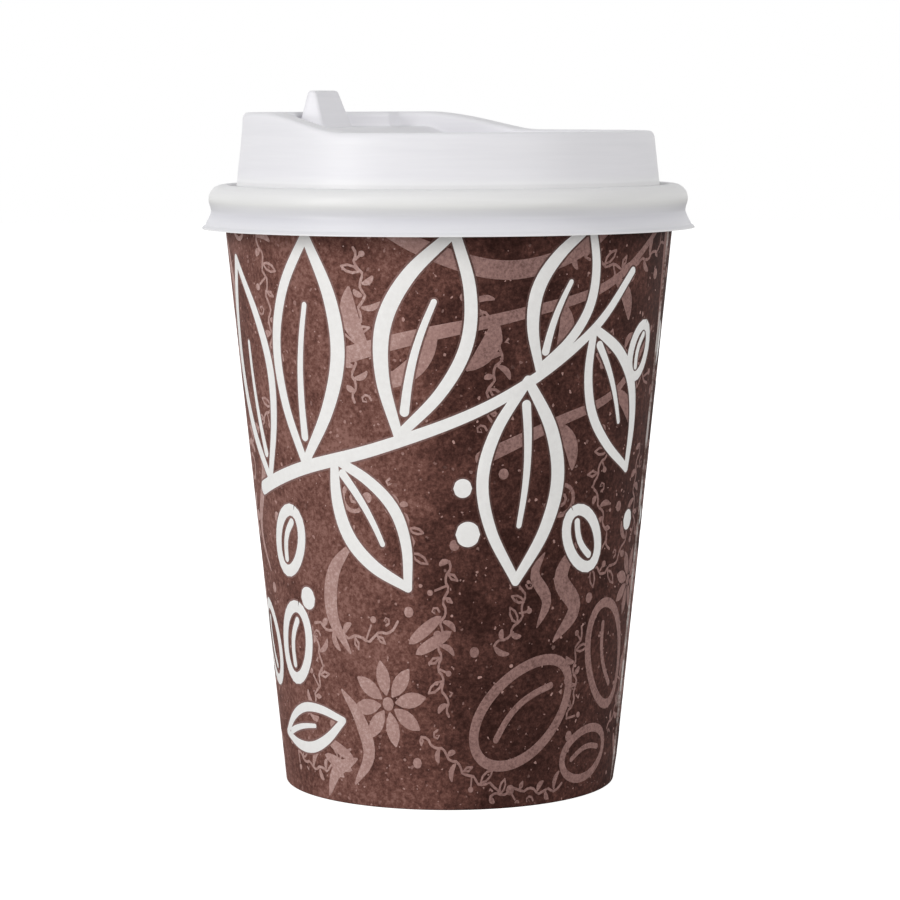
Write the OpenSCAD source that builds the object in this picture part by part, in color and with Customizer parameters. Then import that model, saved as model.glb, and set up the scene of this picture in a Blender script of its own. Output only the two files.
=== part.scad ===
// Hot drink cup of printed paperboard with a moulded plastic travel lid and its closure flap.
// Millimetres, +Z up. The table is z = 0 and the cup's axis is the z axis.
// The viewer in front stands at -Y and has +X on the right.

/* [Cup wall] */
// Outer radius of the wall at the table
base_r = 31.6; // [28:0.1:36]
// Outward lean of the wall, radius gained for each millimetre of height
wall_lean = 0.1013; // [0.06:0.0005:0.12]
// Thickness of the printed paperboard
board_t = 0.35; // [0.25:0.05:0.5]
// Height of the middle of the rolled rim
curl_z = 112.8; // [90:0.05:130]
// Outer radius of the rolled rim's tube
curl_r = 0.9; // [0.8:0.05:1.1]
// Gap between the roll's free edge and the wall
curl_gap = 0.25; // [0.15:0.05:0.4]

/* [Lap seam] */
// Direction of the seam's visible edge, counter-clockwise from +X seen from above
seam_azimuth = -14; // [-90:1:90]
// How far the overlapping edge stands proud of the wall
seam_step = 0.35; // [0.2:0.05:0.5]
// Angle over which the overlapping layer comes back to the wall's own curve
seam_fade = 16; // [10:1:24]

/* [Base] */
// Height of the wall's edge folded up inside
hem_h = 7; // [4:0.5:9]
// Clear height from the hem's edge up to the drinking side of the base disc
disc_above_hem = 1.1; // [0.6:0.1:3]
// Thickness of the base disc's board
disc_t = 0.4; // [0.3:0.05:0.6]
// Glue gap between the layers at the base
glue_gap = 0.02; // [0.01:0.01:0.05]

/* [Lid on the rim] */
// Thickness of the lid's sheet
lid_t = 0.4; // [0.3:0.05:0.5]
// Direction of the drinking side, counter-clockwise from +X seen from above
lid_azimuth = 151; // [0:1:360]
// How far the middle of the bead's round lies inside the middle of the rolled rim
bead_inset = 0.8; // [0.5:0.01:1.2]
// How far the middle of the bead's round lies under the middle of the rolled rim
bead_drop = 1.1; // [0.8:0.05:2]
// Clearance between the rolled rim and the bead over it
rim_clear = 0.06; // [0.04:0.01:0.2]
// Clearance between the rolled rim and the waist that slides past it
waist_clear = 0.15; // [0.1:0.01:0.5]
// Height from the waist up to the middle of the bead's round
waist_drop = 2.4; // [1.5:0.1:3.5]
// Height of the skirt under the waist
skirt_h = 3.4; // [2:0.1:6]
// How far the lower lip stands out from the waist
lip_out = 1.8; // [0.9:0.05:3]
// How far the lip stands out from the skirt's foot
lip_w = 0.8; // [0.5:0.05:1.2]
// Height of the lip's edge
lip_h = 0.65; // [0.4:0.05:0.9]
// Depth of the groove between bead and raised wall
groove_d = 1.7; // [1:0.1:2.5]
// Width of that groove
groove_w = 1.5; // [0.8:0.1:1.6]

/* [Lid top] */
// Height of the low rim over the bead
low_h = 9.95; // [7:0.05:14]
// Height that the rim gains at the drinking side
rise_h = 3.65; // [2.5:0.05:6]
// How far the raised wall leans in up to the low rim
lean_in = 1.1; // [0.4:0.05:2]
// How far it leans in from there to the high rim
lean_in_high = 0.2; // [0.1:0.05:0.6]
// Where the rim starts to rise, measured from the axis towards the drinking side
rise_from = -3.5; // [-10:0.5:5]
// Where the rim has risen
rise_to = 22.5; // [18:0.5:26]
// Width of the broad rim
rim_w = 5.7; // [4:0.1:7]
// Rounding of the rim's edges
rim_round = 1; // [0.4:0.05:1.6]
// How much broader the rim is at the drinking shoulder
shoulder_w = 2.2; // [1.5:0.1:3]
// Where the drinking shoulder ends, measured from the axis
shoulder_s = 24.1; // [20:0.1:27]
// Depth of the sunk middle under the low rim
floor_drop = 1.8; // [1.2:0.05:4]
// Depth of the flap's deck under the high rim
deck_drop = 3; // [2:0.05:3.4]
// Where the deck starts to rise out of the sunk middle
deck_from = 14; // [8:0.5:16]
// Length over which it rises
deck_run = 6; // [4:0.5:8]

/* [Closure flap] */
// Level deck between the rise and the flap's hinge line
hinge_margin = 0.6; // [0.3:0.1:1.5]
// Half width of the flap
flap_half = 6.6; // [6:0.1:8]
// Level deck between the flap's outer end and the drinking shoulder
flap_margin = 0.35; // [0.25:0.05:1]
// Gap cut round the flap
flap_gap = 0.12; // [0.08:0.01:0.2]
// Plate between the fin's outer foot and the flap's outer end
fin_margin = 1.05; // [0.6:0.05:1.5]
// Thickness of the fin at its foot
fin_foot_t = 5.15; // [3.5:0.05:6]
// Thickness of the fin at its top
fin_top_t = 1.75; // [1.2:0.05:2.4]
// How far the fin's outer face leans in
fin_lean = 1.2; // [0.5:0.05:2]
// Half length of the fin's foot
fin_half = 5.55; // [4:0.05:6]
// How much shorter each end of the fin's top is
fin_draft = 1.2; // [0.4:0.05:1.5]
// Height of the fin over the deck
fin_h = 7.1; // [4:0.1:9]

/* [Hidden] */
$fn = 160;
tiny = 0.01;
far = 60;
turn_steps = 6;
rise_steps = 22;
board_side = board_t * sqrt(1 + wall_lean * wall_lean);
skirt_out = board_side + glue_gap;
skirt_in = skirt_out + disc_t;
hem_out = skirt_in + glue_gap;
hem_in = hem_out + board_t;
disc_z = hem_h + disc_above_hem;
seam_inset = seam_step * cos(seam_fade) / (1 - cos(seam_fade));
curl_c = wall_r(curl_z) - board_t + curl_r;
bead_c = curl_c - bead_inset;
bead_z = curl_z - bead_drop;
bead_r = sqrt(bead_inset * bead_inset + bead_drop * bead_drop) + curl_r + rim_clear + lid_t;
bead_top = bead_z + bead_r;
waist_r = curl_c + curl_r + waist_clear + lid_t;
waist_z = bead_z - waist_drop;
waist_half = 0.2;
skirt_z = waist_z - skirt_h;
lip_r = waist_r + lip_out;
lip_chamfer = lip_h / 2;
skirt_foot_r = lip_r - lip_w;
skirt_foot_z = skirt_z + 2 * lip_h;
groove_out = bead_c - 1.0;
groove_round = 0.5;
groove_z = bead_top - groove_d;
groove_in = groove_out - groove_w;
foot_z = bead_top + 0.1;
foot_r = groove_in - 0.15;
low_z = bead_top + low_h;
high_z = low_z + rise_h;
low_r = foot_r - lean_in;
high_r = low_r - lean_in_high;
rim_in_r = low_r - rim_w;
shoulder_r = rim_in_r - shoulder_w;
dip_z = low_z - 0.4;
crest_z = high_z + 0.05;
floor_z = low_z - floor_drop;
deck_z = high_z - deck_drop;
deck_to = deck_from + deck_run;
hinge_s = deck_to + hinge_margin;
flap_r = shoulder_r - flap_margin;
fin_out = flap_r - fin_margin;
fin_in = fin_out - fin_foot_t;
fin_top_out = fin_out - fin_lean;
fin_top_in = fin_top_out - fin_top_t;
fin_top_half = fin_half - fin_draft;
fin_z = deck_z + fin_h;
fin_foot_z = deck_z - lid_t / 2;

// Outer radius of the cup's wall at height z
function wall_r(z) = base_r + wall_lean * z;

// Radius of the lid's raised wall at height z
function dome_r(z) = z < low_z
    ? foot_r + (low_r - foot_r) * (z - foot_z) / (low_z - foot_z)
    : low_r + (high_r - low_r) * (z - low_z) / (high_z - low_z);

// Smooth step from 0 to 1
function ease(u) = u * u * (3 - 2 * u);

// Points of an arc, from angle a0 to a1
function arc(c, r, a0, a1) =
    [for (i = [0:turn_steps]) let (a = a0 + (a1 - a0) * i / turn_steps)
        [c[0] + r * cos(a), c[1] + r * sin(a)]];

// A smooth rise from z0 to z1 between s0 and s1, as points (s, z)
function rise(s0, s1, z0, z1) =
    [for (i = [0:rise_steps]) let (u = i / rise_steps)
        [s0 + (s1 - s0) * u, z0 + (z1 - z0) * ease(u)]];

// Turns a child built along the drinking axis into the lid's direction
module on_lid() {
    rotate([0, 0, lid_azimuth]) children();
}

// Everything below a surface that rises towards the drinking side, drop millimetres lower
module below_rise(s0, s1, z0, z1, drop) {
    on_lid() translate([0, far, 0]) rotate([90, 0, 0]) linear_extrude(height = 2 * far)
        translate([0, -drop]) polygon(concat(
            [[far, z1], [far, bead_z], [-far, bead_z], [-far, z0]],
            rise(s0, s1, z0, z1)));
}

// Everything on the drinking side of a plane across the axis
module beyond(s, z0, z1) {
    on_lid() translate([s, -far, z0]) cube([far, 2 * far, z1 - z0]);
}

// The overlapping edge: a cone set off towards the seam, which stands proud there and
// runs out into the wall's own curve
module lap() {
    top_z = curl_z - curl_r;
    rotate([0, 0, seam_azimuth]) intersection() {
        difference() {
            translate([seam_inset + seam_step, 0, board_t])
                cylinder(r1 = wall_r(board_t) - seam_inset, r2 = wall_r(top_z) - seam_inset,
                    h = top_z - board_t);
            cylinder(r1 = wall_r(0) - board_t / 2, r2 = wall_r(curl_z) - board_t / 2, h = curl_z);
        }
        translate([0, 0, -1]) cube([far, far / 2, curl_z]);
    }
}

// Section of the wall: leaning board, folded lower edge with its hem, and the rolled rim
module wall_section() {
    polygon(concat(
        [[wall_r(curl_z), curl_z], [wall_r(curl_z) - board_side, curl_z]],
        [[wall_r(board_t) - board_side, board_t], [wall_r(board_t) - hem_out, board_t]],
        [[wall_r(hem_h) - hem_out, hem_h], [wall_r(hem_h) - hem_in, hem_h]],
        arc([wall_r(board_t) - hem_in + board_t, board_t], board_t, 180, 270),
        arc([wall_r(board_t) - board_t, board_t], board_t, -90, 0)));
    difference() {
        translate([curl_c, curl_z]) circle(r = curl_r);
        translate([curl_c, curl_z]) circle(r = curl_r - board_t);
        translate([curl_c - 2 * curl_r, curl_z - 2 * curl_r])
            square([2 * curl_r - (curl_c - wall_r(curl_z)) + curl_gap, 2 * curl_r]);
    }
}

// Printed board wall, one blank: rolled rim, lap seam and folded lower edge
module sidewall() {
    color([0.3, 0.21, 0.2]) union() {
        rotate_extrude() wall_section();
        lap();
    }
}

// Base disc with its skirt turned down, held between the wall and the hem
module base_disc() {
    skirt_z0 = board_t + glue_gap;
    bend = disc_t;
    color([0.93, 0.91, 0.88]) rotate_extrude() polygon(concat(
        [[0, disc_z], [0, disc_z - disc_t], [wall_r(disc_z) - skirt_in - disc_t, disc_z - disc_t]],
        [[wall_r(disc_z - 2 * disc_t) - skirt_in, disc_z - 2 * disc_t]],
        [[wall_r(skirt_z0) - skirt_in, skirt_z0], [wall_r(skirt_z0) - skirt_out, skirt_z0]],
        arc([wall_r(disc_z - bend) - skirt_out - bend, disc_z - bend], bend, 0, 90)));
}

// Section of the lid below its top, as a solid: lip, skirt, waist, bead, groove, raised wall
module mount_solid() {
    rotate_extrude() polygon(concat(
        [[0, skirt_z], [lip_r - lip_chamfer, skirt_z], [lip_r, skirt_z + lip_chamfer / 2]],
        [[lip_r, skirt_z + lip_h], [skirt_foot_r + lip_chamfer, skirt_foot_z - lip_chamfer]],
        [[skirt_foot_r, skirt_foot_z], [waist_r, waist_z - waist_half], [waist_r, waist_z + waist_half]],
        arc([bead_c, bead_z], bead_r, -5, 90),
        arc([groove_out + groove_round, bead_top - groove_round], groove_round, 90, 180),
        [[groove_out, groove_z], [groove_in, groove_z], [dome_r(foot_z), foot_z]],
        [[dome_r(floor_z), floor_z], [0, floor_z]]));
}

// The hollow inside that section
module mount_hollow() {
    rotate_extrude() polygon(concat(
        [[0, skirt_z - 1], [lip_r - lip_w, skirt_z - 1], [lip_r - lip_w, skirt_z]],
        [[skirt_foot_r - lid_t, skirt_foot_z], [waist_r - lid_t, waist_z - waist_half]],
        [[waist_r - lid_t, waist_z + waist_half]],
        arc([bead_c, bead_z], bead_r - lid_t, -5, 90),
        [[groove_out + lid_t + groove_round / 2, bead_top - lid_t]],
        [[groove_out + lid_t, bead_top - lid_t - groove_round / 2]],
        [[groove_out + lid_t, groove_z - lid_t], [groove_in - lid_t, groove_z - lid_t]],
        [[dome_r(foot_z) - lid_t, foot_z], [dome_r(floor_z) - lid_t, floor_z - lid_t]],
        [[0, floor_z - lid_t]]));
}

// A ring of the rim, from the inner radius to the raised wall, with rounded top edges
module rim_ring(r_in, top, skin) {
    r_top = dome_r(top);
    inner = r_in + skin;
    outer = r_top - skin;
    round_r = rim_round - skin / 2;
    z = top - skin;
    rotate_extrude() polygon(concat(
        [[inner, foot_z], [dome_r(foot_z) - skin, foot_z]],
        [[dome_r(low_z - 1) - skin, low_z - 1]],
        arc([outer - round_r, z - round_r], round_r, 0, 90),
        arc([inner + round_r, z - round_r], round_r, 90, 180)));
}

// The lid's top, skin millimetres inside its outer surface
module top_form(skin) {
    mid_r = rim_in_r + 1;
    rim_ring(rim_in_r, low_z, skin);
    intersection() {
        rim_ring(rim_in_r, high_z, skin);
        below_rise(rise_from, rise_to, dip_z, crest_z, skin);
    }
    intersection() {
        rim_ring(shoulder_r, high_z, skin);
        beyond(shoulder_s + skin, bead_z, high_z + 1);
    }
    intersection() {
        translate([0, 0, floor_z - 2 * lid_t]) cylinder(r = mid_r, h = high_z - floor_z);
        below_rise(deck_from, deck_to, floor_z, deck_z, skin);
    }
}

// Outline of the flap seen from above, grown by a gap
module flap_plan(grow) {
    s0 = hinge_s - grow;
    half = flap_half + grow;
    intersection() {
        circle(r = flap_r + grow);
        translate([s0, -half]) square([far, 2 * half]);
    }
}

// Travel lid, one moulding
module lid() {
    color([0.93, 0.93, 0.94]) difference() {
        union() {
            mount_solid();
            top_form(0);
        }
        mount_hollow();
        top_form(lid_t);
        on_lid() translate([0, 0, floor_z]) linear_extrude(height = high_z - floor_z)
            flap_plan(flap_gap);
    }
}

// A block whose four sides slope evenly from a foot to a smaller top
module sloped_block(z0, s0, s1, half, z1, t0, t1, top_half) {
    polyhedron(
        points = [[s0, -half, z0], [s1, -half, z0], [s1, half, z0], [s0, half, z0],
            [t0, -top_half, z1], [t1, -top_half, z1], [t1, top_half, z1], [t0, top_half, z1]],
        faces = [[0, 1, 2, 3], [7, 6, 5, 4], [0, 4, 5, 1], [1, 5, 6, 2], [2, 6, 7, 3],
            [3, 7, 4, 0]]);
}

// Closure flap: flat plate in the deck with a hollow finger fin
module lid_flap() {
    color([0.93, 0.93, 0.94]) on_lid() difference() {
        union() {
            translate([0, 0, deck_z - lid_t]) linear_extrude(height = lid_t) flap_plan(0);
            sloped_block(fin_foot_z, fin_in, fin_out, fin_half,
                fin_z, fin_top_in, fin_top_out, fin_top_half);
        }
        sloped_block(deck_z - lid_t - tiny, fin_in + lid_t, fin_out - lid_t, fin_half - lid_t,
            fin_z - 1.5 * lid_t, fin_top_in + lid_t, fin_top_out - lid_t, fin_top_half - lid_t);
    }
}

sidewall();
base_disc();
lid();
lid_flap();
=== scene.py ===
import math

import bmesh
import bpy
from mathutils import Matrix, Vector


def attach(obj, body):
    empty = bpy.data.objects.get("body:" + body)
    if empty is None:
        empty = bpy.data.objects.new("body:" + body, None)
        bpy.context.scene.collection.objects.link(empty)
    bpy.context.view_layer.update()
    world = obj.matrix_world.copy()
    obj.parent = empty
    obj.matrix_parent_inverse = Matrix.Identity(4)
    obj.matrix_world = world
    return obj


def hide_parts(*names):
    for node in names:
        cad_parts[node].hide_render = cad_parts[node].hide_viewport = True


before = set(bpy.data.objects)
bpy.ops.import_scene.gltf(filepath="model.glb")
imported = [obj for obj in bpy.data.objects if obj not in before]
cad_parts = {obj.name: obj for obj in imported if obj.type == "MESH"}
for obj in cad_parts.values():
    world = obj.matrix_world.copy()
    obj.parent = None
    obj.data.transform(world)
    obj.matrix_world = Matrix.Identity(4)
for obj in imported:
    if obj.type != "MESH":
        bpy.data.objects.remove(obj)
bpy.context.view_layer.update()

# Camera.
# A long lens stands a little above the lid's height and looks slightly down at the cup,
# with the cup upright in the middle of a square picture.
camera_place = (0.00021, -0.6231, 0.1295)
camera_down = 6.05
camera_roll = -0.165
camera_data = bpy.data.cameras.new("camera")
camera_data.sensor_width = 36.0
camera_data.lens = 130.65
camera = bpy.data.objects.new("camera", camera_data)
camera.matrix_world = (Matrix.Translation(camera_place)
                       @ Matrix.Rotation(math.radians(90 - camera_down), 4, "X")
                       @ Matrix.Rotation(math.radians(camera_roll), 4, "Z"))
bpy.context.scene.collection.objects.link(camera)
bpy.context.scene.camera = camera
bpy.context.scene.view_settings.view_transform = "Standard"

# Studio.
# A seamless white table and backdrop, a tall strip lamp on the left, a broad soft one in
# front on the right, and a little even light from all round.
KEY_PLACE, KEY_SIZE, KEY_POWER = (-1.12, -0.69, 0.56), (0.32, 1.0), 11.8
FILL_PLACE, FILL_SIZE, FILL_POWER = (1.06, -1.0, 0.5), (1.2, 1.2), 10.7
AIM = Vector((0.0, 0.0, 0.08))
SKY = 0.34
FLOOR_GLOW, GLOW_FROM, GLOW_TO = 0.85, 0.03, 0.16
TABLE_R = 3.0


def lamp(name, place, size, power, tint):
    """A soft rectangular lamp that faces the middle of the cup."""
    data = bpy.data.lights.new(name, "AREA")
    data.shape = "RECTANGLE"
    data.size, data.size_y = size
    data.energy = power
    data.color = tint
    obj = bpy.data.objects.new(name, data)
    turn = (Vector(place) - AIM).to_track_quat("Z", "Y").to_matrix().to_4x4()
    obj.matrix_world = Matrix.Translation(place) @ turn
    bpy.context.scene.collection.objects.link(obj)


lamp("key", KEY_PLACE, KEY_SIZE, KEY_POWER, (1.0, 0.995, 0.99))
lamp("fill", FILL_PLACE, FILL_SIZE, FILL_POWER, (1.0, 0.99, 0.98))

world = bpy.data.worlds.new("studio")
bpy.context.scene.world = world
world.use_nodes = True
nodes, links = world.node_tree.nodes, world.node_tree.links
nodes.clear()
path = nodes.new("ShaderNodeLightPath")
seen = nodes.new("ShaderNodeMath")
seen.operation = "MAXIMUM"
links.new(path.outputs["Is Camera Ray"], seen.inputs[0])
links.new(path.outputs["Is Transmission Ray"], seen.inputs[1])
mirrored = nodes.new("ShaderNodeMath")
mirrored.operation = "MAXIMUM"
links.new(seen.outputs[0], mirrored.inputs[0])
links.new(path.outputs["Is Glossy Ray"], mirrored.inputs[1])
around = nodes.new("ShaderNodeBackground")
around.inputs["Color"].default_value = (1.0, 1.0, 1.0, 1.0)
around.inputs["Strength"].default_value = SKY
white = nodes.new("ShaderNodeBackground")
white.inputs["Color"].default_value = (1.0, 1.0, 1.0, 1.0)
white.inputs["Strength"].default_value = 1.0
choose = nodes.new("ShaderNodeMixShader")
links.new(mirrored.outputs[0], choose.inputs[0])
links.new(around.outputs[0], choose.inputs[1])
links.new(white.outputs[0], choose.inputs[2])
out = nodes.new("ShaderNodeOutputWorld")
links.new(choose.outputs[0], out.inputs["Surface"])

floor_mat = bpy.data.materials.new("white_table")
floor_mat.use_nodes = True
nodes, links = floor_mat.node_tree.nodes, floor_mat.node_tree.links
nodes.clear()
matt = nodes.new("ShaderNodeBsdfDiffuse")
matt.inputs["Color"].default_value = (0.6, 0.6, 0.6, 1.0)
glow = nodes.new("ShaderNodeEmission")
path = nodes.new("ShaderNodeLightPath")
place = nodes.new("ShaderNodeTexCoord")
reach = nodes.new("ShaderNodeVectorMath")
reach.operation = "LENGTH"
links.new(place.outputs["Object"], reach.inputs[0])
spread = nodes.new("ShaderNodeMapRange")
spread.inputs["From Min"].default_value = GLOW_FROM
spread.inputs["From Max"].default_value = GLOW_TO
spread.inputs["To Min"].default_value = FLOOR_GLOW
spread.inputs["To Max"].default_value = 1.0
links.new(reach.outputs["Value"], spread.inputs["Value"])
level = nodes.new("ShaderNodeMath")
level.operation = "MULTIPLY"
links.new(path.outputs["Is Camera Ray"], level.inputs[0])
links.new(spread.outputs["Result"], level.inputs[1])
links.new(level.outputs[0], glow.inputs["Strength"])
both = nodes.new("ShaderNodeAddShader")
links.new(matt.outputs[0], both.inputs[0])
links.new(glow.outputs[0], both.inputs[1])
out = nodes.new("ShaderNodeOutputMaterial")
links.new(both.outputs[0], out.inputs["Surface"])

bm = bmesh.new()
bmesh.ops.create_circle(bm, cap_ends=True, segments=64, radius=TABLE_R)
table_mesh = bpy.data.meshes.new("table")
bm.to_mesh(table_mesh)
bm.free()
table_mesh.materials.append(floor_mat)
table = bpy.data.objects.new("table", table_mesh)
bpy.context.scene.collection.objects.link(table)

# Board wall.
# One blank of printed paperboard rolled to a cone and glued at a lap seam, its upper edge
# rolled outward to a rim and its lower edge folded in and up round the base disc.
MM = 0.001
BASE_R, WALL_LEAN = 31.6, 0.1013
BOARD_T = 0.35
CURL_Z, CURL_R = 112.8, 0.9
HEM_H, DISC_T, GLUE = 7.0, 0.4, 0.02
SEAM_AZ, SEAM_STEP, SEAM_FADE = -14.0, 0.35, 16.0
WALL_STEPS = 288
FADE_COS = math.cos(math.radians(SEAM_FADE))
SEAM_INSET = SEAM_STEP * FADE_COS / (1 - FADE_COS)
HEM_OUT = BOARD_T + GLUE + DISC_T + GLUE
HEM_IN = HEM_OUT + BOARD_T


def wall_r(z):
    """Outer radius of the wall at a height."""
    return BASE_R + WALL_LEAN * z


def lap(azimuth, radius):
    """How far the overlapping layer stands proud of the wall at an azimuth in degrees."""
    turn = math.radians((azimuth - SEAM_AZ) % 360)
    if turn > math.radians(SEAM_FADE):
        return 0.0
    off = SEAM_INSET + SEAM_STEP
    side = math.sqrt((radius - SEAM_INSET) ** 2 - (off * math.sin(turn)) ** 2)
    return max(0.0, off * math.cos(turn) + side - radius)


def arc(centre, radius, start, end, steps):
    """Points round part of a circle, from one angle in degrees to another."""
    return [(centre[0] + radius * math.cos(math.radians(start + (end - start) * i / steps)),
             centre[1] + radius * math.sin(math.radians(start + (end - start) * i / steps)))
            for i in range(steps + 1)]


def put(name, bm, materials, body, sharp=35.0, stands_for=()):
    """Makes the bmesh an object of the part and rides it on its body."""
    mesh = bpy.data.meshes.new(name)
    bm.to_mesh(mesh)
    bm.free()
    mesh.shade_smooth()
    mesh.set_sharp_from_angle(angle=math.radians(sharp))
    for material in materials:
        mesh.materials.append(material)
    obj = bpy.data.objects.new(name, mesh)
    bpy.context.scene.collection.objects.link(obj)
    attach(obj, body)
    if stands_for:
        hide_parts(*stands_for)
    return obj


# The blank's section as one closed line, from the foot up the printed side, round the rolled
# rim, down the coated side, and in and up at the hem
curl_c = wall_r(CURL_Z) - BOARD_T + CURL_R
outer_z = [BOARD_T + (CURL_Z - CURL_R - BOARD_T) * i / 24 for i in range(25)]
outer = [(wall_r(z), z) for z in outer_z]
lap_rows = len(outer)
profile = outer + [(wall_r(CURL_Z), CURL_Z)]
profile += arc((curl_c, CURL_Z), CURL_R - BOARD_T, 180, -110, 18)[1:]
coat_from = len(profile)
profile += arc((curl_c, CURL_Z), CURL_R, -110, 180, 24)
profile += [(wall_r(z) - BOARD_T, z) for z in (90.0, 60.0, 30.0, HEM_H, BOARD_T)]
coat_to = len(profile)
profile += [(wall_r(z) - HEM_OUT, z) for z in (BOARD_T, HEM_H)]
profile += [(wall_r(z) - HEM_IN, z) for z in (HEM_H, BOARD_T)]
hem_to = len(profile)
profile += arc((wall_r(BOARD_T) - HEM_IN + BOARD_T, BOARD_T), BOARD_T, 180, 270, 4)[1:]
profile += arc((wall_r(BOARD_T) - BOARD_T, BOARD_T), BOARD_T, -90, 0, 4)[:-1]

bm = bmesh.new()
row = bm.verts.layers.int.new("row")
start = Matrix.Rotation(math.radians(SEAM_AZ), 4, "Z")
chain = []
for i, (r, z) in enumerate(profile):
    vert = bm.verts.new(start @ Vector((r * MM, 0, z * MM)))
    vert[row] = i
    chain.append(vert)
ring = [bm.edges.new(pair) for pair in zip(chain, chain[1:] + chain[:1])]
bmesh.ops.spin(bm, geom=chain + ring, cent=(0, 0, 0), axis=(0, 0, 1), dvec=(0, 0, 0),
               angle=math.tau, steps=WALL_STEPS, use_merge=False, use_duplicate=False)
first = set(chain)
for vert in bm.verts:
    if 0 < vert[row] < lap_rows - 1:
        radius = Vector(vert.co.xy).length / MM
        azimuth = math.degrees(math.atan2(vert.co.y, vert.co.x))
        on_seam = abs((azimuth - SEAM_AZ + 180) % 360 - 180) < 0.01
        if on_seam:
            proud = SEAM_STEP if vert in first else 0.0
        else:
            proud = lap(azimuth, radius)
        vert.co.xy *= 1 + proud / radius
bmesh.ops.remove_doubles(bm, verts=bm.verts, dist=1e-7)
raw = bmesh.ops.holes_fill(bm, edges=[e for e in bm.edges if e.is_boundary], sides=0)["faces"]
bmesh.ops.recalc_face_normals(bm, faces=bm.faces)
for face in bm.faces:
    levels = [vert[row] for vert in face.verts]
    first_row = min(levels) if max(levels) - min(levels) < 2 else len(profile)
    if coat_from <= first_row < coat_to:
        face.material_index = 2
    elif first_row == coat_from - 1 or coat_to <= first_row < hem_to - 1:
        face.material_index = 1
for face in raw:
    face.material_index = 3


def fresh(name, rough, gloss=0.5):
    """A new material with its shader, short ways to its nodes and links, and its place."""
    mat = bpy.data.materials.new(name)
    mat.use_nodes = True
    shader = mat.node_tree.nodes["Principled BSDF"]
    shader.inputs["Roughness"].default_value = rough
    shader.inputs["Specular IOR Level"].default_value = gloss
    nodes, links = mat.node_tree.nodes, mat.node_tree.links
    spot = nodes.new("ShaderNodeTexCoord").outputs["Object"]
    return mat, shader, nodes, links, spot


def cloud(nodes, links, spot, scale, detail=2.0, rough=0.5, shift=(0, 0, 0), stretch=(1, 1, 1)):
    """Soft noise; scale is per metre, shift moves it and stretch draws it out."""
    moved = nodes.new("ShaderNodeMapping")
    moved.inputs["Location"].default_value = shift
    moved.inputs["Scale"].default_value = stretch
    links.new(spot, moved.inputs["Vector"])
    noise = nodes.new("ShaderNodeTexNoise")
    noise.inputs["Scale"].default_value = scale
    noise.inputs["Detail"].default_value = detail
    noise.inputs["Roughness"].default_value = rough
    links.new(moved.outputs["Vector"], noise.inputs["Vector"])
    return noise.outputs["Fac"]


def total(nodes, links, parts):
    """0.5 plus each noise's departure from 0.5 times its weight."""
    level = 0.5
    for source, weight in parts:
        step = nodes.new("ShaderNodeMath")
        step.operation = "MULTIPLY_ADD"
        step.inputs[1].default_value = weight
        links.new(source, step.inputs[0])
        if isinstance(level, float):
            step.inputs[2].default_value = level - weight / 2
        else:
            shifted = nodes.new("ShaderNodeMath")
            shifted.operation = "SUBTRACT"
            links.new(level, shifted.inputs[0])
            shifted.inputs[1].default_value = weight / 2
            links.new(shifted.outputs[0], step.inputs[2])
        level = step.outputs[0]
    return level


def shades(nodes, links, level, stops):
    """Colours along a level; stops are (level, (r, g, b))."""
    ramp = nodes.new("ShaderNodeValToRGB")
    while len(ramp.color_ramp.elements) < len(stops):
        ramp.color_ramp.elements.new(0.5)
    for element, (place, colour) in zip(ramp.color_ramp.elements, stops):
        element.position = place
        element.color = (*colour, 1)
    links.new(level, ramp.inputs["Fac"])
    return ramp.outputs["Color"]


# painted side light and shade: its weight, the Object X where it is fully lit and fully shaded,
# and its wander
PAINTED_SHADE_WEIGHT, PAINTED_LIT_X, PAINTED_SHADED_X, PAINTED_SHADE_WANDER = 0.34, -0.006, 0.021, 0.02


def painted_side_shade(nodes, links, spot):
    """Painted light and shade: the ground fades from light on the lamp's side of the cup to dark
    on the other, along a line that wanders with noise.
    """
    apart = nodes.new("ShaderNodeSeparateXYZ")
    links.new(spot, apart.inputs[0])
    wander = nodes.new("ShaderNodeMath")
    wander.operation = "MULTIPLY_ADD"
    wander.inputs[1].default_value = PAINTED_SHADE_WANDER
    links.new(cloud(nodes, links, spot, 40, 2.0, 0.5), wander.inputs[0])
    links.new(apart.outputs["X"], wander.inputs[2])
    side = nodes.new("ShaderNodeMapRange")
    side.interpolation_type = "SMOOTHERSTEP"
    side.inputs["From Min"].default_value = PAINTED_SHADED_X
    side.inputs["From Max"].default_value = PAINTED_LIT_X
    links.new(wander.outputs[0], side.inputs["Value"])
    return side.outputs["Result"]


def relief(nodes, links, shader, level, depth, strength):
    """Fine relief of the surface, with its depth in millimetres."""
    bump = nodes.new("ShaderNodeBump")
    bump.inputs["Distance"].default_value = depth * MM
    bump.inputs["Strength"].default_value = strength
    links.new(level, bump.inputs["Height"])
    links.new(bump.outputs["Normal"], shader.inputs["Normal"])


board_print, shader, nodes, links, spot = fresh("printed_board", 0.6, 0.12)
shader.inputs["Specular Tint"].default_value = (1.0, 0.55, 0.48, 1)
mottle = cloud(nodes, links, spot, 110, 7.0, 0.72)
fibre = cloud(nodes, links, spot, 1250, 4.0, 0.75, (0, 0, 0.4))
# the ground's tone: painted side light and shade, with the board's mottle and fibre
level = total(nodes, links, [(painted_side_shade(nodes, links, spot), PAINTED_SHADE_WEIGHT), (mottle, 0.9), (fibre, 1.15)])
ground = shades(nodes, links, level, [
    (0.15, (0.026, 0.010, 0.008)), (0.33, (0.054, 0.022, 0.018)), (0.50, (0.098, 0.041, 0.033)),
    (0.67, (0.168, 0.074, 0.059)), (0.85, (0.270, 0.138, 0.115))])
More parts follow.
